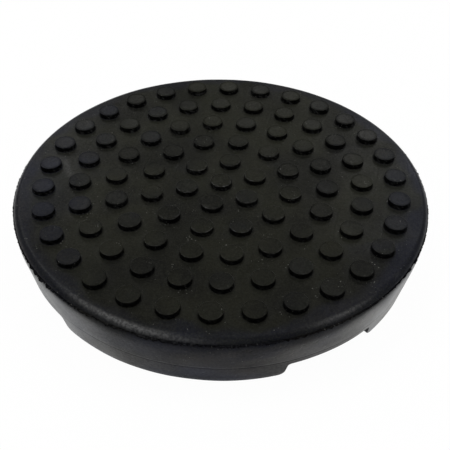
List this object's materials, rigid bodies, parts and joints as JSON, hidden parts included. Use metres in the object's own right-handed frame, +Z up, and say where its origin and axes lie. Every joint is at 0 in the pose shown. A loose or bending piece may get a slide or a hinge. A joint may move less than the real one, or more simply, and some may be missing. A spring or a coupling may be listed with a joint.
{
  "type": "rubber jack pad",
  "caption": "Round black rubber lift pad: studded disc with a rounded edge, drafted skirt with notches at its foot, and a round recess underneath.",
  "frame": {"origin": "centre of the circle that the lugs stand on, on the supporting surface", "axes": "+Z up along the pad's axis, towards the studs; a lug faces -Y, and the notches lie on the diagonals between X and Y"},
  "size_m": [0.15, 0.15, 0.0254],
  "materials": {
    "pad_rubber": "satin"
  },
  "bodies": {
    "root": {"jack_pad": "pad_rubber"}
  },
  "joints": []
}
